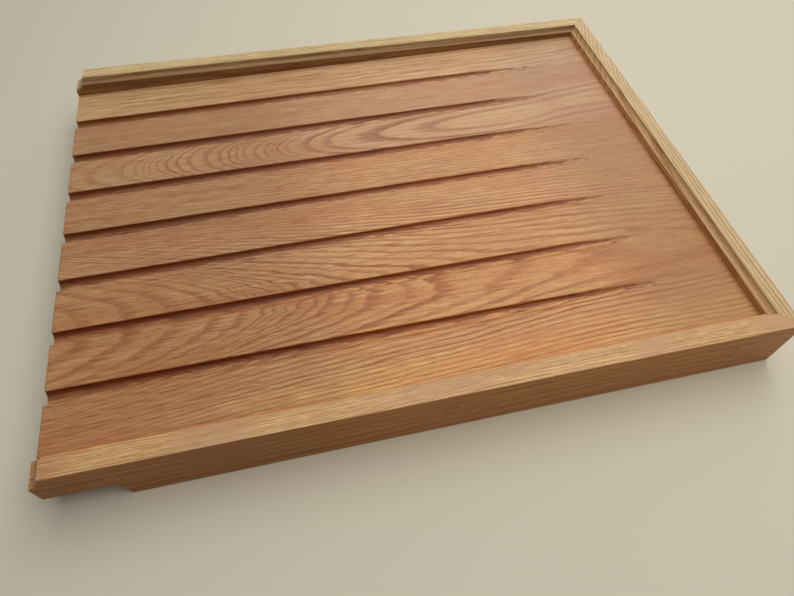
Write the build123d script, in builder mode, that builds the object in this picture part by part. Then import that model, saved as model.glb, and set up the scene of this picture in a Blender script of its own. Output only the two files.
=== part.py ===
from build123d import *
import os
from math import degrees, radians, tan

# Draining board that stands beside a kitchen sink: a grooved panel of three
# edge-glued boards, framed on three sides by mitred rails with a coved inner
# edge. X runs along the grooves, from the open end over the sink to the closed
# end, Y to the back and Z up. The origin is under the centre, on the worktop.

# Overall sizes, in millimetres
length = 600.0
depth = 463.0
rail_height = 58.0
rail_thickness = 20.0
overrun = 5.0  # how far a cutter reaches past the wood

# Panel
board_thickness = 16.0
closed_upstand = 11.6  # height of the rails above the panel at the closed end
panel_fall = 6.7  # fall of the panel over the whole length
open_edge_radius = 1.2  # rounding of the panel's top edge at the open end
glue_line_shares = (0.637, 0.879)  # of the panel's width, from the front

# Grooves, cut with a round-nosed cutter
groove_count = 7
groove_width = 12.0
groove_open_depth = 7.0  # at the open end
groove_lift_depth = 4.4  # where the floor starts to curve up
runout_length = 120.0  # the curved part, which ends at the groove's tip
front_land = 46.4  # flat left between the front rail and the first groove
back_land = 43.7  # flat left between the last groove and the back rail
end_land = 60.0  # flat left between the grooves' tips and the right rail
land_edge_radius = 0.7

# Rail moulding, ends and notch
cove_radius = 6.35
cove_run = 5.0  # width of the top that the inner cove takes away
end_cove_radius = 12.7
end_cove_run = 10.3  # length of the top that the end cove takes away
rail_edge_radius = 0.8
notch_length = 50.4  # at the top of the notch, which sits on the sink's rim
notch_lean = 4.9  # how much longer the notch is at the worktop
notch_corner_radius = 2.0

# Screws, and the wooden plugs over them
plug_diameter = 12.0
plug_length = 8.0
screw_drop = 23.0  # below the top of the rails
screw_length = 40.0
screw_diameter = 4.0
screw_tip_length = 5.0
screw_play = 0.25  # between the shank and the rail's clearance hole
head_diameter = 8.0
head_angle = 90.0
front_screw_shares = (0.085, 0.503, 0.911)  # of the length, from the open end
right_screw_shares = (0.14, 0.5, 0.86)  # of the depth, from the front

# Derived places
open_end = -length / 2
closed_end = length / 2
front_face = -depth / 2
back_face = depth / 2
panel_front = front_face + rail_thickness
panel_back = back_face - rail_thickness
panel_end = closed_end - rail_thickness
screw_level = rail_height - screw_drop


def panel_top(x):
    """Height of the panel's surface, which falls towards the open end."""
    return rail_height - closed_upstand - panel_fall * (closed_end - x) / length


def spread(first, last, count):
    """Places evenly spaced from first to last."""
    return [first + (last - first) * i / (count - 1) for i in range(count)]


# The top of the notch is level with the panel's underside at the open end
notch_height = panel_top(open_end) - board_thickness

glue_lines = [panel_front + share * (panel_back - panel_front) for share in glue_line_shares]
groove_places = spread(
    panel_front + front_land + groove_width / 2,
    panel_back - back_land - groove_width / 2,
    groove_count,
)

# Screw sites: planes on the outer faces of the rails, facing outwards
along = [open_end + share * length for share in front_screw_shares]
across = [front_face + share * depth for share in right_screw_shares]
screw_sites = {
    "front": [Plane((x, front_face, screw_level), z_dir=(0, -1, 0)) for x in along],
    "back": [Plane((x, back_face, screw_level), z_dir=(0, 1, 0)) for x in along],
    "right": [Plane((closed_end, y, screw_level), z_dir=(1, 0, 0)) for y in across],
}
site_words = {
    "front": ("left", "middle", "right"),
    "back": ("left", "middle", "right"),
    "right": ("front", "middle", "back"),
}

# Mitre planes through the two closed corners, facing the right rail
front_mitre = Plane((closed_end, front_face, 0), z_dir=(1, 1, 0))
back_mitre = Plane((closed_end, back_face, 0), z_dir=(1, -1, 0))


def save(part, name):
    """Labels a finished piece and writes it."""
    part.label = name
    export_step(part, f"parts/{name}.step")


# Cutter for one groove: a round-nosed slot swept along the groove's floor,
# which rises gently from the open end and then curves up to the surface
lift = panel_end - end_land - runout_length
floor_rise = (groove_open_depth - groove_lift_depth) / (lift - open_end)
runout_radius = runout_length**2 / (2 * (groove_lift_depth - floor_rise * runout_length))

with BuildPart() as groove_cutter:
    with BuildLine(Plane.XZ) as groove_floor:
        straight_floor = Line(
            (
                open_end - overrun,
                panel_top(open_end - overrun) - groove_open_depth - floor_rise * overrun,
            ),
            (lift, panel_top(lift) - groove_lift_depth),
        )
        JernArc(
            start=straight_floor @ 1,
            tangent=straight_floor % 1,
            radius=runout_radius,
            arc_size=degrees((runout_length + overrun) / runout_radius),
        )
    with BuildSketch(
        Plane(groove_floor.line @ 0, x_dir=(0, 1, 0), z_dir=groove_floor.line % 0)
    ):
        with Locations((0, groove_width / 2)):
            Circle(groove_width / 2)
            Rectangle(
                groove_width,
                groove_open_depth + overrun,
                align=(Align.CENTER, Align.MIN),
            )
    sweep()

# The whole panel, glued up, grooved, eased and drilled for the screws
with BuildPart() as panel:
    with BuildSketch(Plane.XZ.offset(-panel_back)):
        with BuildLine():
            Polyline(
                (open_end, panel_top(open_end)),
                (panel_end, panel_top(panel_end)),
                (panel_end, panel_top(panel_end) - board_thickness),
                (open_end, panel_top(open_end) - board_thickness),
                close=True,
            )
        make_face()
    extrude(amount=panel_back - panel_front)
    open_face = panel.faces().sort_by(Axis.X)[0]
    fillet(open_face.edges().sort_by(Axis.Z)[-1], open_edge_radius)
    with Locations(*[(0, y, 0) for y in groove_places]):
        add(groove_cutter.part, mode=Mode.SUBTRACT)
    lands = panel.faces().filter_by(lambda face: face.normal_at().Z > 0).sort_by(SortBy.AREA)[-1]
    groove_edges = lands.edges().filter_by(
        lambda edge: edge.bounding_box().size.X > edge.bounding_box().size.Y
        and panel_front + groove_width < edge.center().Y < panel_back - groove_width
    )
    fillet(groove_edges, land_edge_radius)
    for sites in screw_sites.values():
        with Locations(*sites):
            Hole(screw_diameter / 2, plug_length + screw_length)

# The three boards that the panel is glued up from
board_edges = [panel_front - overrun, *glue_lines, panel_back + overrun]
board_names = ("panel_front_board", "panel_middle_board", "panel_back_board")
boards = {}
for name, board_front, board_back in zip(board_names, board_edges, board_edges[1:]):
    with BuildPart() as board:
        add(panel.part)
        with BuildSketch(Plane.XZ.offset(-board_back)):
            Rectangle(length + overrun, rail_height * 2)
        extrude(amount=board_back - board_front, mode=Mode.INTERSECT)
    boards[name] = board.part


def coved_bar(plane, bar_length):
    """A bar of the rails' section. The plane's origin is at the foot of the outer face, its x
    axis points at the panel and its normal runs along the bar."""
    with BuildPart() as bar:
        with BuildSketch(plane) as section:
            Rectangle(rail_thickness, rail_height, align=Align.MIN)
            square_corners = section.vertices().sort_by(lambda corner: corner.X + corner.Y)[:-1]
            fillet(square_corners, rail_edge_radius)
            with Locations((rail_thickness - cove_run + cove_radius, rail_height)):
                Circle(cove_radius, mode=Mode.SUBTRACT)
        extrude(amount=bar_length)
    return bar.part


def drill_for_screws(sites):
    """Drills the rail being built: a bore for each plug, and a countersunk hole at its bottom."""
    with Locations(*sites):
        Hole(plug_diameter / 2, plug_length)
    with Locations(*[site.offset(-plug_length) for site in sites]):
        CounterSinkHole(
            screw_diameter / 2 + screw_play,
            head_diameter / 2,
            rail_thickness,
            head_angle,
        )


# Front rail: mitred at the closed end, coved and notched at the open end
front_foot = Plane((open_end, front_face, 0), x_dir=(0, 1, 0), z_dir=(1, 0, 0))
notch_end = open_end + notch_length + notch_lean

with BuildPart() as front_rail:
    add(coved_bar(front_foot, length))
    split(bisect_by=front_mitre, keep=Keep.BOTTOM)
    with BuildSketch(Plane.XZ):
        with Locations((open_end + end_cove_run - end_cove_radius, rail_height)):
            Circle(end_cove_radius)
    extrude(amount=depth, both=True, mode=Mode.SUBTRACT)
    with BuildSketch(Plane.XZ) as notch:
        with BuildLine():
            Polyline(
                (open_end - overrun, -overrun),
                (notch_end, -overrun),
                (notch_end, 0),
                (open_end + notch_length, notch_height),
                (open_end - overrun, notch_height),
                close=True,
            )
        make_face()
        inner_corner = notch.vertices().group_by(Axis.Y)[-1].sort_by(Axis.X)[-1]
        fillet(inner_corner, notch_corner_radius)
    extrude(amount=depth, both=True, mode=Mode.SUBTRACT)
    drill_for_screws(screw_sites["front"])

# Back rail: the front rail's mirror image
with BuildPart() as back_rail:
    mirror(front_rail.part, about=Plane.XZ)

# Right rail, across the closed end, mitred at both ends
right_foot = Plane((closed_end, front_face, 0), x_dir=(-1, 0, 0), z_dir=(0, 1, 0))

with BuildPart() as right_rail:
    add(coved_bar(right_foot, depth))
    split(bisect_by=front_mitre, keep=Keep.TOP)
    split(bisect_by=back_mitre, keep=Keep.TOP)
    drill_for_screws(screw_sites["right"])

# Countersunk screw, with its head at the origin and its tip below
head_height = (head_diameter - screw_diameter) / 2 / tan(radians(head_angle / 2))

with BuildPart() as screw:
    with BuildSketch(Plane.XZ):
        with BuildLine():
            Polyline(
                (0, 0),
                (head_diameter / 2, 0),
                (screw_diameter / 2, -head_height),
                (screw_diameter / 2, screw_tip_length - screw_length),
                (0, -screw_length),
                close=True,
            )
        make_face()
    revolve(axis=Axis.Z)

# Write the pieces: boards, rails, then the plugs one by one and the screws by rail
os.makedirs("parts", exist_ok=True)
for name, part in boards.items():
    save(part, name)
save(front_rail.part, "front_rail")
save(back_rail.part, "back_rail")
save(right_rail.part, "right_rail")
for side, sites in screw_sites.items():
    for word, site in zip(site_words[side], sites):
        with BuildPart() as plug:
            with BuildSketch(site):
                Circle(plug_diameter / 2)
            extrude(amount=-plug_length)
        save(plug.part, f"{side}_plug_{word}")
    with BuildPart() as screws:
        with Locations(*[site.offset(-plug_length) for site in sites]):
            add(screw.part)
    save(screws.part, f"{side}_screws")
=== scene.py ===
from math import pi, radians

import bpy
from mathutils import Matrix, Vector


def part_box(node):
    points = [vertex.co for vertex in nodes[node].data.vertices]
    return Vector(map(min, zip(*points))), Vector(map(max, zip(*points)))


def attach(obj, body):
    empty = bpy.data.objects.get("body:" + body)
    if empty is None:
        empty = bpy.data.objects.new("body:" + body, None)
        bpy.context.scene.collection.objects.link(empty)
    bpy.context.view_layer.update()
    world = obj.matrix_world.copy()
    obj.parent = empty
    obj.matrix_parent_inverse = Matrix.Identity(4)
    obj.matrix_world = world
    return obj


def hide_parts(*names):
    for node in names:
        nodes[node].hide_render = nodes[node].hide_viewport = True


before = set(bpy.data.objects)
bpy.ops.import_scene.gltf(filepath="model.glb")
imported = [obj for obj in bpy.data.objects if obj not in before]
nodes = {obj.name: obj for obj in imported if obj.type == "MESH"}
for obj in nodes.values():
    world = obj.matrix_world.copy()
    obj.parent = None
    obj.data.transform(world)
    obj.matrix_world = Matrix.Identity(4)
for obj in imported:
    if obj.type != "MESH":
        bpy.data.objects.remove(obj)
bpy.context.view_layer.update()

# A draining board in oiled oak: a panel of three boards with seven grooves, coved rails on
# three sides, and screws under wooden plugs. The materials are in millimetres and in the
# frame's axes: X runs along the grooves to the closed end, Y to the back and Z up.
MM = 0.001
LENGTH = 600.0
DEPTH = 463.0
RAIL_HEIGHT = 58.0
RAIL_THICKNESS = 20.0
COVE_TOP = 15.0  # distance in from the outer face to the cove's upper edge
COVE_FOOT = 51.8  # height of its lower edge
CLOSED_END_TOP = 46.4  # height of the panel's surface at the closed end
FALL = 6.7  # fall of that surface over the whole length
UNDERSIDE = (30.0, 33.0)  # heights between which the panel's plain underside ends
GLUE_LINES = (57.5, 160.5)  # where the boards meet, in Y
PLUG_LINE = (6.1, 6.9)  # the dark line round a plug, from its middle

# How the dark, porous early wood rises and fades within a year's ring, and its mean
RING_PROFILE = ((0.0, 0.0), (0.1, 1.0), (0.3, 0.8), (0.52, 0.1), (1.0, 0.0))
MEAN_RING = 0.27

# Each kind of noise in the wood has a seed of its own, which is its place in this list
LAYERS = ("wander", "waver", "fibres", "streaks", "drift", "pores", "gloss", "groove back", "stain", "calm", "fleck",
          "break up", "blush")

# Colours of the wood's details, as seen on a screen
PORE = (92, 50, 28)
END_GRAIN = (120, 82, 54)

# Tones, which multiply the wood's colour in red, green and blue
REDDISH = (0.985, 0.93, 0.91)
YELLOWISH = (1.0, 1.04, 1.02)
GOLD = (0.95, 0.846, 0.692)
PALE = (1.12, 1.22, 1.02)
GROOVE_LIP = (1.2, 1.12, 0.85)
# Painted shade, with some oil, on the grooves' walls and on the backs of their floors
GROOVE_WALL_SHADE_AND_OIL = (0.6, 0.36, 0.11)
GROOVE_BACK_SHADE_AND_OIL = (0.53, 0.36, 0.26)
WATER_STAIN = (0.45, 0.32, 0.26)
# Painted shade, with some oil, along the foot of the rails
RAIL_FOOT_SHADE_AND_OIL = (0.66, 0.5, 0.46)
GLUE = (0.55, 0.42, 0.36)
MITRE = (0.5, 0.38, 0.3)
ROUND_PLUG = (0.45, 0.36, 0.3)

# Shares of those tones along the board or across it, as (place, share)
GOLDEN = [(-232, 0.75), (-190, 0.75), (-132, 1.0), (-79, 0.45), (-25, 0.1), (28, 0.0), (232, 0.0)]
PALE_ALONG = [(-300, 0.0), (-180, 0.3), (-80, 1.0), (40, 0.9), (130, 0.55), (200, 0.7), (255, 0.7), (300, 0.2)]
PALE_ACROSS = [(-232, 1.2), (-204, 1.1), (-188, 0.6), (-165, 0.0), (232, 0.0)]
OPEN_END = [(-300, 1.0), (-150, 1.0), (-20, 0.1), (100, 0.0), (300, 0.0)]
CLOSED_END = [(-300, 0.0), (130, 0.0), (240, 1.0), (300, 1.0)]
RUN_OUT = [(-300, 0.0), (60, 0.0), (130, 0.8), (220, 0.8), (250, 0.0), (300, 0.0)]
# How strong the panel's fibres show
CRISP = [(-300, 1.5), (0, 1.3), (150, 0.95), (300, 0.75)]
# Where the front rail's figure breaks up into flecks, and where it is calm
FLECKED = [(-300, 0.2), (-80, 0.4), (0, 1.0), (220, 1.0), (300, 0.6)]
CALM = [(-300, 0), (-215, 0), (-175, 1), (-130, 0), (-60, 0.1), (-30, 0.5), (10, 0.7), (50, 0.1), (140, 0.1),
        (170, 0.8), (200, 0.1), (255, 0.1), (275, 1), (300, 0.6)]

# Each board's grain. The rings are cut round a pith that lies pith_across in Y and
# pith_below the surface, as (place along the board, distance). growth counts the rings out
# to a radius. pale and dark are the late and the early wood. The tones darken the two ends,
# partly as painted shade.
BOARDS = {
    "panel_front_board": dict(
        name="board_front", seed=3.0, fibre=1.4, tint=(209, 142, 95),
        open_end=(0.695, 0.69, 0.71), closed_end=(0.715, 0.705, 0.72),
        figure=dict(
            pith_across=[(-300, -103), (-240, -106), (-142, -111), (-40, -115.5), (60, -118), (140, -117), (215, -120),
                         (300, -124)],
            pith_below=[(-300, 64), (-240, 76), (-173, 87), (-142, 91), (-100, 95), (-73, 97.2), (-40, 100), (20, 104),
                        (105, 108.3), (165, 110), (225, 110.9), (300, 113)],
            growth=[(50, 0), (76, 3), (82, 4), (87, 5), (90, 6), (92, 7), (92.8, 8), (93.6, 9), (94.4, 10), (95.6, 11),
                    (96.5, 12), (98.1, 13), (99.7, 14), (102.1, 15), (104, 16), (107, 17), (140, 29.8), (200, 50.8)],
            pale=(225, 173, 123), dark=(164, 91, 50), wander=(3.0, 2.0), feather=(0.3, 0.3), width=1.2,
            contrast=[(-300, 0.7), (-220, 0.82), (-150, 1.0), (-60, 1.12), (0, 1.25), (120, 1.2), (190, 0.85),
                      (240, 0.55), (300, 0.5)],
            faint=(74, 108, 0.6))),
    "panel_middle_board": dict(
        name="board_middle", seed=13.0, fibre=1.0, tint=(200, 144, 110),
        open_end=(0.78, 0.725, 0.655), closed_end=(0.865, 0.83, 0.845),
        figure=dict(
            pith_across=[(-300, 79.5), (-60, 81), (150, 84), (220, 92), (300, 97)],
            pith_below=[(-300, 73), (-170, 54), (-30, 29), (20, 22), (100, 13.5), (160, 10.5), (215, 13), (300, 7)],
            growth=[(5, 0), (16, 1.1), (23.2, 2.1), (30.7, 3.1), (34.5, 4.1), (38.5, 5.1), (40.4, 6.1), (43, 8.1),
                    (47.3, 10.1), (51.8, 13.1), (54.1, 14.1), (56.8, 15.1), (61.2, 18.1), (64, 21.1), (65.6, 22.1),
                    (69.4, 23.1), (75, 24.6), (110, 35)],
            pale=(216, 171, 130), dark=(150, 92, 62), wander=(3.0, 1.0), feather=(0.2, 0.2), width=1.4,
            contrast=[(-300, 0.45), (-220, 0.65), (-170, 1.1), (-60, 1.1), (100, 0.9), (200, 0.55), (300, 0.45)],
            faint=(26, 40, 0.85))),
    "panel_back_board": dict(
        name="board_back", seed=23.0, fibre=1.1, tint=(204, 150, 111),
        open_end=(0.90, 0.91, 0.83), closed_end=(0.85, 0.85, 0.89),
        figure=dict(
            pith_across=[(-300, 290), (0, 286), (150, 288), (300, 300)],
            pith_below=[(-300, 20), (0, 14), (300, 20)],
            growth=[(60, 20), (160, 35)],
            pale=(219, 177, 134), dark=(173, 118, 76), wander=(10.0, 3.0), feather=(1.1, 0.4), width=2.0,
            contrast=[(-300, 0.5), (-100, 0.7), (300, 0.75)])),
}

# Each rail's grain, with its pith below the rail's foot, and the tones of its outer face, its
# cove and its inner face. The front rail's darker outer tone is partly painted shade, and the
# back rail's dark cove and inner tones are painted shade, for faces turned from the light.
# The last value is the share of the arris tones.
RAILS = {
    "front": dict(
        seed=33.0, fibre=1.8, outer=(0.91, 0.65, 0.37), cove=(1.0, 0.93, 0.85), inner=(0.84, 0.6, 0.42), arris_share=0.0,
        figure=dict(
            pith_across=[(-300, -320), (0, -318), (300, -322)],
            pith_below=[(-300, 20), (-100, 26), (100, 16), (300, 24)],
            growth=[(60, 36), (91, 43.5), (104, 46.5), (117, 49.3), (126, 55.6), (134, 61.2), (150, 72.4)],
            pale=(226, 182, 125), dark=(162, 102, 60), width=0.9)),
    "back": dict(
        seed=43.0, fibre=1.4, outer=(0.95, 0.8, 0.6), cove=(0.51, 0.36, 0.29), inner=(0.40, 0.245, 0.15), arris_share=0.6,
        figure=dict(
            pith_across=[(-300, 330), (300, 332)],
            pith_below=[(-300, -30), (300, -24)],
            growth=[(60, 30), (140, 58)],
            pale=(224, 200, 150), dark=(172, 128, 78), width=1.5)),
    "right": dict(
        seed=53.0, fibre=1.0, outer=(0.95, 0.8, 0.6), cove=(1.02, 0.87, 0.85), inner=(1.06, 0.82, 0.68), arris_share=0.8,
        figure=dict(
            pith_across=[(-300, 372), (60, 374), (130, 386), (231, 414), (300, 436)],
            pith_below=[(-300, -30), (300, -24)],
            growth=[(40, 10), (160, 43)],
            pale=(219, 191, 142), dark=(182, 138, 94), width=1.2)),
}

# A rail's arrises: distance in from its outer face, height, reach of the tone and the tone.
# The outer top arris is lighter; the dark lines at the cove's upper edge and at its lower lip are painted shade.
ARRISES = (
    (0.0, RAIL_HEIGHT, 0.9, (1.15, 1.1, 0.85)),
    (COVE_TOP, RAIL_HEIGHT, 2.4, (0.85, 0.81, 0.62)),
    (RAIL_THICKNESS, COVE_FOOT, 1.4, (0.36, 0.3, 0.05)),
)

# Sizes of a screw, in metres, and the rows and columns of the grid that is wound into it
SCREW = {
    "Length": 40 * MM, "Head radius": 4 * MM, "Shank radius": 1.45 * MM, "Core radius": 1.3 * MM,
    "Thread radius": 2 * MM, "Thread start": 13 * MM, "Tip": 5 * MM, "Pitch": 1.8 * MM, "Drive": 1.3 * MM,
    "Drive depth": 1.8 * MM,
}
SCREW_ROWS, SCREW_COLUMNS, TIP_ROWS = 128, 24, 14
RIDGE_SLOPE = 3.4  # how fast the thread falls away from its crest, in heights a turn
# The turn that points each rail's screws from the plugs to the panel
SCREW_TURNS = {"front": (pi / 2, 0.0, 0.0), "back": (-pi / 2, 0.0, 0.0), "right": (0.0, pi / 2, 0.0)}

# Studio. The floor is seen in one colour and lights the board in another, and pales into the
# backdrop far out. Its lengths are in metres.
BACKDROP = (210, 205, 189)
FLOOR_SEEN = (230, 223, 202)
FLOOR_LIT = (176, 156, 126)
FLOOR_REACH = 4.0
FLOOR_PALES = (0.6, 1.7)
ROOM_LIGHT = (0.95, 0.97, 1.0, 1.0)
ROOM_STRENGTH = 0.12
CAMERA_PLACE = (-0.09214, -0.39977, 0.45526)
CAMERA_TURN = (34.476, -1.594, -12.952)
CAMERA_LENS = 26.529
CAMERA_SENSOR = 36.0


def linear(red, green, blue):
    """A colour given as it looks on a screen, from 0 to 255, as Blender's linear values."""
    parts = [c / 255 for c in (red, green, blue)]
    return [c / 12.92 if c <= 0.04045 else ((c + 0.055) / 1.055) ** 2.4 for c in parts] + [1.0]


class Field:
    """What a node gives out. Arithmetic on one that is a number adds Math nodes."""

    def __init__(self, graph, socket):
        self.graph = graph
        self.socket = socket

    def __add__(self, other):
        return self.graph.math("ADD", self, other)

    def __sub__(self, other):
        return self.graph.math("SUBTRACT", self, other)

    def __rsub__(self, other):
        return self.graph.math("SUBTRACT", other, self)

    def __mul__(self, other):
        return self.graph.math("MULTIPLY", self, other)

    def __truediv__(self, other):
        return self.graph.math("DIVIDE", self, other)

    def __pow__(self, other):
        return self.graph.math("POWER", self, other)

    def __abs__(self):
        return self.graph.math("ABSOLUTE", self)

    __radd__ = __add__
    __rmul__ = __mul__


class Graph:
    """A node tree, with one method that adds any node and links or sets its sockets."""

    def __init__(self, tree):
        self.tree = tree
        tree.nodes.clear()

    def add(self, kind, settings, sockets):
        node = self.tree.nodes.new(kind)
        for name, value in settings.items():
            if name == "stops":
                self.set_stops(node.color_ramp, value)
            elif name == "curve":
                self.set_curve(node.mapping, value)
            else:
                setattr(node, name, value)
        for key, value in sockets.items():
            if isinstance(value, Field):
                self.tree.links.new(value.socket, node.inputs[key])
            else:
                node.inputs[key].default_value = value
        return node

    def value(self, kind, settings, sockets, output=0):
        return Field(self, self.add(kind, settings, sockets).outputs[output])

    @staticmethod
    def set_stops(ramp, stops):
        ramp.interpolation = "EASE"
        while len(ramp.elements) < len(stops):
            ramp.elements.new(1.0)
        for element, (place, level) in zip(ramp.elements, stops):
            element.position = place
            element.color = (level, level, level, 1.0)

    @staticmethod
    def set_curve(mapping, points):
        curve = mapping.curves[0]
        while len(curve.points) < len(points):
            curve.points.new(0.5, 0.5)
        for point, place in zip(curve.points, points):
            point.location = place
        mapping.update()

    # Short forms for the nodes that the wood uses most
    def math(self, operation, *values):
        return self.value("ShaderNodeMath", {"operation": operation}, dict(enumerate(values)))

    def vector(self, x, y, z):
        return self.value("ShaderNodeCombineXYZ", {}, {0: x, 1: y, 2: z})

    def split(self, vector):
        node = self.add("ShaderNodeSeparateXYZ", {}, {0: vector})
        return [Field(self, socket) for socket in node.outputs]

    def place(self):
        """Object coordinates, in millimetres."""
        place = self.value("ShaderNodeTexCoord", {}, {}, "Object")
        return self.split(self.value("ShaderNodeVectorMath", {"operation": "SCALE"}, {0: place, "Scale": 1 / MM}))

    def smooth(self, value, low, high):
        """0 at low, 1 at high, with a smooth step between them."""
        settings = {"interpolation_type": "SMOOTHSTEP"}
        return self.value("ShaderNodeMapRange", settings, {"Value": value, 1: low, 2: high})

    def curve(self, place, points):
        """A value that follows a smooth curve through (place, value) points."""
        start, reach = points[0][0], points[-1][0] - points[0][0]
        low = min(value for _, value in points)
        span = max(value for _, value in points) - low
        curve = [((where - start) / reach, (value - low) / span) for where, value in points]
        share = self.value("ShaderNodeFloatCurve", {"curve": curve}, {"Value": (place - start) / reach})
        return share * span + low

    def noise(self, place, size, seed, detail=2.0, roughness=0.5, step=2.0):
        """Noise from 0 to 1 with features of the given size in millimetres along, across and up."""
        scaled = [axis / length for axis, length in zip(place, size)]
        sockets = {"Vector": self.vector(*scaled), "W": seed, "Scale": 1.0, "Detail": detail,
                   "Roughness": roughness, "Lacunarity": step}
        return self.value("ShaderNodeTexNoise", {"noise_dimensions": "4D"}, sockets)

    def mix(self, factor, one, other, blend="MIX"):
        settings = {"data_type": "RGBA", "blend_type": blend}
        return self.value("ShaderNodeMix", settings, {"Factor": factor, 6: one, 7: other}, 2)

    def mix_shaders(self, factor, one, other):
        return self.value("ShaderNodeMixShader", {}, {0: factor, 1: one, 2: other})

    def surface(self, shader):
        self.add("ShaderNodeOutputMaterial", {}, {"Surface": shader})

    def finished(self, colour, gloss, relief, strength, constants):
        """A surface with its relief in millimetres."""
        bump = self.value("ShaderNodeBump", {}, {"Height": relief, "Distance": MM, "Strength": strength})
        sockets = {"Base Color": colour, "Roughness": gloss, "Normal": bump, **constants}
        self.surface(self.value("ShaderNodeBsdfPrincipled", {}, sockets))


def new_material(name):
    material = bpy.data.materials.new(name)
    material.use_nodes = True
    return material, Graph(material.node_tree)


def in_scene(name, data):
    made = bpy.data.objects.new(name, data)
    bpy.context.scene.collection.objects.link(made)
    return made


def finish_node(name, material):
    mesh = nodes[name].data
    mesh.materials.clear()
    mesh.materials.append(material)


def plugs_of(side):
    """Each plug in a rail, with its lowest and highest corner."""
    for name in sorted(nodes):
        if name.startswith(side + "_plug"):
            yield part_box(name)


class Oak:
    """A piece of oak cut from a log. Its rings lie round a pith that runs along the grain and
    follows curves, so the cut surfaces get the figure that such a plank shows."""

    def __init__(self, name, grain, seed):
        self.material, self.graph = new_material(name)
        self.seed = seed
        self.x, self.y, self.z = self.graph.place()
        self.facing = self.graph.split(self.graph.value("ShaderNodeNewGeometry", {}, {}, "Normal"))
        self.up = self.z
        # Along the grain and aside of it, for a place and for the way that a face looks
        pairs = [(self.x, self.y), self.facing[:2]]
        if grain == "Y":
            pairs = [(other, one) for one, other in pairs]
        elif grain == "as the rail":
            # Swapped for the plugs that sit in the right rail
            swap = self.graph.math("GREATER_THAN", self.x, LENGTH / 2 - RAIL_THICKNESS)
            pairs = [(one + (other - one) * swap, other + (one - other) * swap) for one, other in pairs]
        (self.along, self.aside), (self.face_along, self.face_aside) = pairs

    def noise(self, layer, size, detail=2.0, roughness=0.5, step=2.0):
        place = (self.along, self.aside, self.up)
        return self.graph.noise(place, size, self.seed + LAYERS.index(layer), detail, roughness, step)

    def rings(self, pith_across, pith_below, growth, pale, dark, wander=(8.0, 1.6), feather=(0.3, 0.3), width=1.2,
              contrast=None, faint=None):
        """wander moves the rings by long and short waves and feather frays them, width is a
        fibre's, and faint evens them out between two distances from the pith, by a share."""
        graph = self.graph
        across = self.aside - graph.curve(self.along, pith_across)
        above = self.up + graph.curve(self.along, pith_below)
        radius = (across * across + above * above) ** 0.5
        # A tree isn't round: long waves along the grain, then short ones
        radius = radius + (self.noise("wander", (150, 30, 30), 1.0) - 0.5) * wander[0]
        radius = radius + (self.noise("waver", (60, 9, 9), 1.0) - 0.5) * wander[1]
        self.fibres = self.noise("fibres", (width * 16, width, width), 2.0, 0.7, 2.2) - 0.5
        self.streaks = self.noise("streaks", (110, width * 2.2, width * 2.2), 0.0) - 0.5
        # Rings counted from the pith. Each year's is as strong as its own draw says
        count = graph.curve(radius, growth) + self.streaks * feather[0] + self.fibres * feather[1]
        year = graph.math("FLOOR", count) + self.seed
        strength = graph.value("ShaderNodeTexWhiteNoise", {"noise_dimensions": "1D"}, {"W": year})
        ring = graph.value("ShaderNodeValToRGB", {"stops": RING_PROFILE}, {"Fac": graph.math("FRACT", count)})
        # Rings are a little fainter where the face lies flat on them
        flat = abs((self.face_aside * across + self.facing[2] * above) / radius)
        self.band = ring * (strength * 0.5 + 0.5) * (1.0 - flat * flat * 0.2)
        if contrast:
            self.band = self.band * graph.curve(self.along, contrast)
        if faint:
            near, far, share = faint
            self.band = self.band + (MEAN_RING - self.band) * graph.smooth(abs(across), near, far) * share
        self.colour = graph.mix(self.band, linear(*pale), linear(*dark))

    def blend(self, share, colour):
        self.colour = self.graph.mix(share, self.colour, linear(*colour))

    def tone(self, share, levels):
        """Multiplies the colour, in full where share is 1."""
        self.colour = self.graph.mix(share, self.colour, (*levels, 1.0), "MULTIPLY")

    def grain(self, fibre, streak):
        """Fine fibres, longer streaks and the open pores of the early wood."""
        graph = self.graph
        level = self.fibres * fibre + self.streaks * streak
        # Dark fibres are browner and pale ones yellower, so blue changes most
        shade = graph.vector(level * 0.72 + 1.0, level + 1.0, level * 1.3 + 1.0)
        self.colour = graph.value("ShaderNodeVectorMath", {"operation": "MULTIPLY"}, {0: self.colour, 1: shade})
        pore = graph.smooth(self.noise("pores", (5.5, 0.24, 0.24), 1.0), 0.60, 0.72)
        self.pores = pore * (self.band * 0.8 + 0.2)
        self.blend(self.pores * 0.45, PORE)

    def finish(self, sheen=0.36):
        """End grain, which drinks the oil, then relief and gloss."""
        end = self.graph.smooth(abs(self.face_along), 0.2, 0.75)
        self.blend(end * 0.75, END_GRAIN)
        relief = self.fibres * 0.02 - self.pores * 0.06 - self.band * 0.02
        gloss = self.noise("gloss", (60, 6, 6)) * 0.16 + sheen + self.pores * 0.15
        self.graph.finished(self.colour, gloss, relief, 0.7, {"Specular IOR Level": 0.36})
        return self.material


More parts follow.
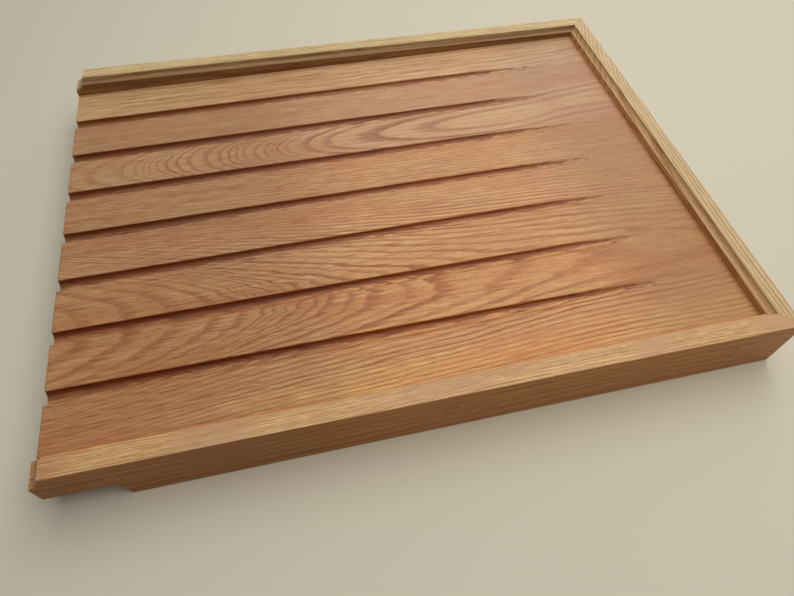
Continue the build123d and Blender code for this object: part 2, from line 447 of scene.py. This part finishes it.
def board_oak(name, seed, figure, fibre, tint, open_end, closed_end):
    """A board of the panel, darker in its grooves and along the foot of the rails, by painted shade with some oil."""
    oak = Oak(name, "X", seed)
    graph = oak.graph
    to_right_rail = LENGTH / 2 - RAIL_THICKNESS - oak.x
    to_side_rails = DEPTH / 2 - RAIL_THICKNESS - abs(oak.y)
    surface = CLOSED_END_TOP - (LENGTH / 2 - oak.x) * (FALL / LENGTH)
    depth = surface - oak.z
    oak.up = depth * -1.0
    oak.rings(**figure)
    oak.blend(graph.smooth(oak.noise("drift", (170, 38, 38)), 0.42, 0.66) * 0.55, tint)
    fibre = graph.curve(oak.x, CRISP) * fibre
    oak.grain(fibre, fibre * 0.3)

    # Reddish and yellowish streaks side by side along the grain
    blush = graph.smooth(oak.noise("blush", (55, 4.5, 4.5), 1.0), 0.38, 0.62)
    oak.tone(blush, REDDISH)
    oak.tone(1.0 - blush, YELLOWISH)

    # The grooves' lighter lips, and their walls darkened by painted shade and some oil, by depth in millimetres. The
    # underside stays plain
    inside = graph.smooth(oak.z, *UNDERSIDE)
    steep = 1.0 - graph.smooth(oak.facing[2], 0.55, 0.97)
    lip = graph.smooth(depth, 0.02, 0.2) * (1.0 - graph.smooth(depth, 0.45, 0.8))
    oak.tone(lip * steep, GROOVE_LIP)
    oak.tone(graph.smooth(depth, 0.4, 1.6) * steep * inside, GROOVE_WALL_SHADE_AND_OIL)
    # Painted shade, with some oil, along the back of each groove's floor, where it faces the front, away from the
    # light
    ragged = (oak.noise("groove back", (16, 1.6, 1.6), 2.0, 0.65) - 0.5) * 2.1
    back = graph.smooth(oak.facing[1] * -1.0 + ragged, 0.08, 0.32) * graph.smooth(depth, 0.35, 1.6)
    oak.tone(back * inside * 0.9, GROOVE_BACK_SHADE_AND_OIL)
    # Small stains where the water stands, in the shallow ends of the grooves
    stain = graph.smooth(oak.noise("stain", (9, 1.6, 1.6), 1.0), 0.57, 0.63) * graph.curve(oak.x, RUN_OUT)
    shallow = graph.smooth(depth, 0.1, 0.5) * (1.0 - graph.smooth(depth, 2.0, 4.0))
    oak.tone(stain * shallow, WATER_STAIN)

    # Painted shade, with some oil, along the foot of the rails
    foot = graph.math("MINIMUM", to_right_rail, to_side_rails)
    oak.tone((1.0 - graph.smooth(foot, 0.3, 9.0)) * 0.3, RAIL_FOOT_SHADE_AND_OIL)
    # The front of the panel is golden, and paler still along the middle of the front strip
    oak.tone(graph.curve(oak.y, GOLDEN), GOLD)
    oak.tone(graph.curve(oak.x, PALE_ALONG) * graph.curve(oak.y, PALE_ACROSS), PALE)
    # Darker towards both ends, partly painted shade: the light falls off towards the open end and beside the closed
    # end's rail
    oak.tone(graph.curve(oak.x, OPEN_END), open_end)
    oak.tone(graph.curve(oak.x, CLOSED_END), closed_end)
    # Thin lines of glue between the boards
    seam = sum(1.0 - graph.smooth(abs(oak.y - line), 0.05, 0.22) for line in GLUE_LINES)
    oak.tone(seam * inside * 0.7, GLUE)
    return oak.finish()


def fleck_front_rail(oak):
    """Calm pinkish patches in the front rail's fine lines, pale flecks, and its darker open end."""
    graph = oak.graph
    flecked = graph.curve(oak.along, FLECKED)
    patch = graph.curve(oak.along, CALM) * graph.smooth(oak.noise("calm", (12, 1.5, 8)), 0.3, 0.5)
    oak.blend(patch * 0.85, (208, 162, 122))
    fleck = graph.smooth(oak.noise("fleck", (13, 0.7, 0.7), 1.0), 0.52, 0.64) * flecked
    oak.blend(fleck * (1.0 - patch) * 0.45, (236, 200, 150))
    break_up = graph.smooth(oak.noise("break up", (20, 4, 4), 1.0), 0.5, 0.64) * flecked
    oak.blend(break_up * 0.45, (208, 158, 118))
    # Darker towards the open end, partly painted shade
    oak.tone(graph.curve(oak.x, OPEN_END), (0.95, 0.94, 0.93))
    oak.tone(graph.smooth(oak.x * -1.0, 250.0, 296.0), (0.86, 0.78, 0.84))


def rail_oak(side, seed, figure, fibre, outer, cove, inner, arris_share):
    """A rail, dark on its outer face, with its cove in a tone of its own; its outer arris is lighter and the cove's
    edges carry painted shade.
    """
    front, right = side == "front", side == "right"
    oak = Oak("rail_" + side, "Y" if right else "X", seed)
    graph = oak.graph
    from_end, from_side = LENGTH / 2 - oak.x, DEPTH / 2 - abs(oak.y)
    if right:
        inward = from_end
    else:
        inward = DEPTH / 2 + oak.y if front else DEPTH / 2 - oak.y
    oak.rings(wander=(5.0, 1.2), feather=(0.25, 0.35), **figure)
    oak.grain(fibre, fibre * 0.35)
    if front:
        fleck_front_rail(oak)

    # Each surface of the section, by its distance in from the outer face
    on_outer = 1.0 - graph.smooth(inward, 0.1, 0.4)
    on_inner = graph.smooth(inward, RAIL_THICKNESS - 0.9, RAIL_THICKNESS - 0.3)
    on_cove = graph.smooth(inward, COVE_TOP - 0.1, COVE_TOP + 0.3) * (1.0 - on_inner)
    oak.blend(on_outer * 0.15, (206, 158, 106))
    # On the front rail the darker outer tone is partly painted shade
    oak.tone(on_outer, outer)
    if front:
        # Painted shade: the outer face darker towards the open end, away from the light
        oak.tone(on_outer * graph.curve(oak.x, OPEN_END), (0.75, 0.73, 0.64))
    # On the back rail the cove and inner tones are painted shade, for faces turned from the light
    oak.tone(on_cove, cove)
    oak.tone(on_inner, inner)
    # The outer arris is lighter; the two along the cove are darkened as painted shade
    if arris_share:
        for reach, height, spread, levels in ARRISES:
            away = ((inward - reach) ** 2.0 + (oak.z - height) ** 2.0) ** 0.5
            oak.tone((1.0 - graph.smooth(away, 0.3, spread)) * arris_share, levels)

    # Fine dark lines along the mitres at the closed end and round each plug
    mitre = 1.0 - graph.smooth(abs(from_end - from_side), 0.08, 0.35)
    oak.tone(mitre * graph.smooth(inward, 0.1, 0.3), MITRE)
    for low, high in plugs_of(side):
        middle = [(a + b) / 2 / MM for a, b in zip(low, high)]
        offset = oak.along - middle[1 if right else 0]
        away = (offset * offset + (oak.z - middle[2]) ** 2.0) ** 0.5
        oak.tone(1.0 - graph.smooth(away, *PLUG_LINE), ROUND_PLUG)
    return oak.finish(0.4)


def plug_oak():
    """The plugs, cut from the rails' wood and oiled with them."""
    oak = Oak("plug_wood", "as the rail", 63.0)
    oak.rings([(-300, -400), (300, -402)], [(-300, -20), (300, -22)], [(100, 30), (720, 330)],
              (208, 158, 104), (180, 130, 82))
    oak.grain(1.0, 0.5)
    # Plugs in the front face take its tones: darker, partly as painted shade, and darker towards the open end as
    # painted shade
    in_front = oak.graph.math("LESS_THAN", oak.y, RAIL_THICKNESS - DEPTH / 2)
    oak.tone(in_front, (0.95, 0.7, 0.42))
    oak.tone(in_front * oak.graph.curve(oak.x, OPEN_END), (0.78, 0.77, 0.7))
    oak.tone(1.0 - in_front, (0.95, 0.84, 0.66))
    return oak.finish()


def screw_steel():
    """Zinc plating, faintly mottled and scratched."""
    material, graph = new_material("screw_steel")
    place = graph.place()
    plating = graph.noise(place, (1.6, 1.6, 1.6), 71.0, 3.0)
    scratches = graph.noise(place, (0.3, 0.3, 0.3), 72.0, 2.0)
    colour = graph.mix(graph.smooth(plating, 0.35, 0.65), linear(196, 196, 190), linear(170, 171, 168))
    gloss = plating * 0.2 + scratches * 0.12 + 0.2
    graph.finished(colour, gloss, scratches * 0.01, 0.4, {"Metallic": 1.0})
    return material


def screw_tree(steel):
    """Geometry Nodes for a countersunk wood screw with a square drive on each point."""
    tree = bpy.data.node_groups.new("countersunk_screws", "GeometryNodeTree")
    graph = Graph(tree)
    tree.interface.new_socket("Heads", in_out="INPUT", socket_type="NodeSocketGeometry")
    tree.interface.new_socket("Turn", in_out="INPUT", socket_type="NodeSocketVector")
    for name, length in SCREW.items():
        tree.interface.new_socket(name, in_out="INPUT", socket_type="NodeSocketFloat").default_value = length
    tree.interface.new_socket("Screws", in_out="OUTPUT", socket_type="NodeSocketGeometry")
    given = graph.add("NodeGroupInput", {}, {})
    heads, turn_to_panel = [Field(graph, given.outputs[name]) for name in ("Heads", "Turn")]
    size = {name: Field(graph, given.outputs[name]) for name in SCREW}

    grid = graph.add("GeometryNodeMeshGrid", {}, {"Size X": 1.0, "Size Y": 1.0, "Vertices X": SCREW_COLUMNS + 1,
                                                  "Vertices Y": SCREW_ROWS + 1})
    across, down, _ = graph.split(graph.value("GeometryNodeInputPosition", {}, {}))
    turn = across + 0.5
    row = (down + 0.5) * SCREW_ROWS

    def rows(first, last):
        return graph.value("ShaderNodeMapRange", {}, {"Value": row, 1: float(first), 2: float(last)})

    # The grid's rows, from the middle of the drive's floor to the point of the tip
    recess, wall, face, countersink = rows(0, 1), rows(1, 2), rows(2, 3), rows(3, 4)
    body, tip = rows(4, SCREW_ROWS - TIP_ROWS), rows(SCREW_ROWS - TIP_ROWS, SCREW_ROWS)
    quarter = (graph.math("FRACT", turn * 4.0) - 0.5) * (pi / 2)
    drive = size["Drive"] / graph.math("COSINE", quarter)
    head = size["Head radius"] - size["Shank radius"]
    depth = size["Drive depth"] - wall * size["Drive depth"] + countersink * head
    depth = depth + body * (size["Length"] - size["Tip"] - head) + tip * size["Tip"]
    threaded = graph.smooth(depth - size["Thread start"], 0.0, MM)
    shank = size["Shank radius"] + (size["Core radius"] - size["Shank radius"]) * threaded
    radius = drive * recess + (size["Head radius"] - drive) * face - head * countersink
    radius = radius + (shank - size["Shank radius"]) * countersink
    winding = depth / size["Pitch"] + turn
    ridge = 1.0 - abs(graph.math("FRACT", winding) - 0.5) * RIDGE_SLOPE
    ridge = graph.math("MAXIMUM", ridge, 0.0) * (size["Thread radius"] - size["Core radius"]) * threaded
    radius = (radius + ridge) * (1.0 - tip)
    angle = turn * (2 * pi)
    spot = graph.vector(radius * graph.math("COSINE", angle), radius * graph.math("SINE", angle), depth * -1.0)

    # Wound, closed along its seam and at its ends, and turned outwards
    sheet = Field(graph, grid.outputs["Mesh"])
    wound = graph.value("GeometryNodeSetPosition", {}, {"Geometry": sheet, "Position": spot})
    closed = graph.value("GeometryNodeMergeByDistance", {}, {"Geometry": wound, "Distance": 0.01 * MM})
    outward = graph.value("GeometryNodeFlipFaces", {}, {"Mesh": closed})
    placed = graph.value("GeometryNodeInstanceOnPoints", {}, {"Points": heads, "Instance": outward,
                                                              "Rotation": turn_to_panel})
    real = graph.value("GeometryNodeRealizeInstances", {}, {"Geometry": placed})
    dressed = graph.value("GeometryNodeSetMaterial", {}, {"Geometry": real, "Material": steel})
    graph.add("NodeGroupOutput", {}, {"Screws": dressed})
    return tree


def screw_heads(side):
    """The middle of each plug in a rail, at its inner end, where a screw's head lies."""
    for low, high in plugs_of(side):
        middle = [(a + b) / 2 for a, b in zip(low, high)]
        if side == "right":
            yield (low[0], middle[1], middle[2])
        else:
            yield (middle[0], high[1] if side == "front" else low[1], middle[2])


def seen_rays(graph):
    """1 for what the camera sees, also in a reflection or through glass, and 0 for light on the board."""
    ray = graph.add("ShaderNodeLightPath", {}, {})
    camera, glossy, transmission = [
        Field(graph, ray.outputs[name]) for name in ("Is Camera Ray", "Is Glossy Ray", "Is Transmission Ray")]
    return graph.math("MAXIMUM", graph.math("MAXIMUM", camera, glossy), transmission)


def floor_material():
    material, graph = new_material("pale_floor")
    shown = seen_rays(graph)
    near = graph.mix_shaders(shown, graph.value("ShaderNodeBsdfDiffuse", {}, {"Color": linear(*FLOOR_LIT)}),
                             graph.value("ShaderNodeBsdfDiffuse", {}, {"Color": linear(*FLOOR_SEEN)}))
    far = graph.value("ShaderNodeEmission", {}, {"Color": linear(*BACKDROP)})
    place = graph.value("ShaderNodeTexCoord", {}, {}, "Object")
    away = graph.value("ShaderNodeVectorMath", {"operation": "LENGTH"}, {0: place}, "Value")
    graph.surface(graph.mix_shaders(graph.smooth(away, *FLOOR_PALES) * shown, near, far))
    return material


def soft_light(name, place, target, width, depth, power, colour):
    data = bpy.data.lights.new(name, "AREA")
    data.shape = "RECTANGLE"
    data.size = width
    data.size_y = depth
    data.energy = power
    data.color = colour
    lamp = in_scene(name, data)
    lamp.location = place
    lamp.rotation_euler = (Vector(target) - Vector(place)).to_track_quat("-Z", "Y").to_euler()
    lamp.visible_camera = False


# The wood of every board, rail and plug
for node, board in BOARDS.items():
    finish_node(node, board_oak(**board))
for side, rail in RAILS.items():
    finish_node(side + "_rail", rail_oak(side, **rail))
plug_wood = plug_oak()
for node in nodes:
    if "_plug_" in node:
        finish_node(node, plug_wood)

# The screws, hidden under the plugs: one mesh for each rail, in place of its plain solids
screws = screw_tree(screw_steel())
turn_socket = screws.interface.items_tree["Turn"].identifier
for side, turn in SCREW_TURNS.items():
    points = bpy.data.meshes.new("heads")
    points.from_pydata(list(screw_heads(side)), [], [])
    maker = in_scene("heads", points)
    modifier = maker.modifiers.new("screws", "NODES")
    modifier.node_group = screws
    modifier[turn_socket] = turn
    mesh = bpy.data.meshes.new_from_object(maker.evaluated_get(bpy.context.evaluated_depsgraph_get()))
    maker.modifiers.remove(modifier)
    bpy.data.objects.remove(maker)
    piece = in_scene(side + "_rail_screws", mesh)
    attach(piece, "root")
    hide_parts(side + "_screws")

# The studio, with the camera at the height and angle of the photograph
floor_mesh = bpy.data.meshes.new("floor")
floor_mesh.from_pydata([(x * FLOOR_REACH, y * FLOOR_REACH, 0) for x, y in ((-1, -1), (1, -1), (1, 1), (-1, 1))],
                       [], [(0, 1, 2, 3)])
floor_mesh.materials.append(floor_material())
floor = in_scene("floor", floor_mesh)

soft_light("light_behind", (0.95, 1.35, 1.0), (0.0, 0.0, 0.0), 1.5, 1.2, 6.0, (1.0, 0.985, 0.95))
soft_light("light_above", (0.36, 0.05, 1.4), (0.24, 0.05, 0.0), 2.0, 1.6, 18.0, (1.0, 0.98, 0.94))

world = bpy.data.worlds.new("room")
world.use_nodes = True
bpy.context.scene.world = world
room = Graph(world.node_tree)
backdrop = room.value("ShaderNodeBackground", {}, {"Color": linear(*BACKDROP), "Strength": 1.0})
light = room.value("ShaderNodeBackground", {}, {"Color": ROOM_LIGHT, "Strength": ROOM_STRENGTH})
room.add("ShaderNodeOutputWorld", {}, {"Surface": room.mix_shaders(seen_rays(room), light, backdrop)})

lens = bpy.data.cameras.new("camera")
lens.sensor_width = CAMERA_SENSOR
lens.lens = CAMERA_LENS
camera = in_scene("camera", lens)
camera.location = CAMERA_PLACE
camera.rotation_euler = [radians(angle) for angle in CAMERA_TURN]
bpy.context.scene.camera = camera
bpy.context.scene.view_settings.view_transform = "Standard"
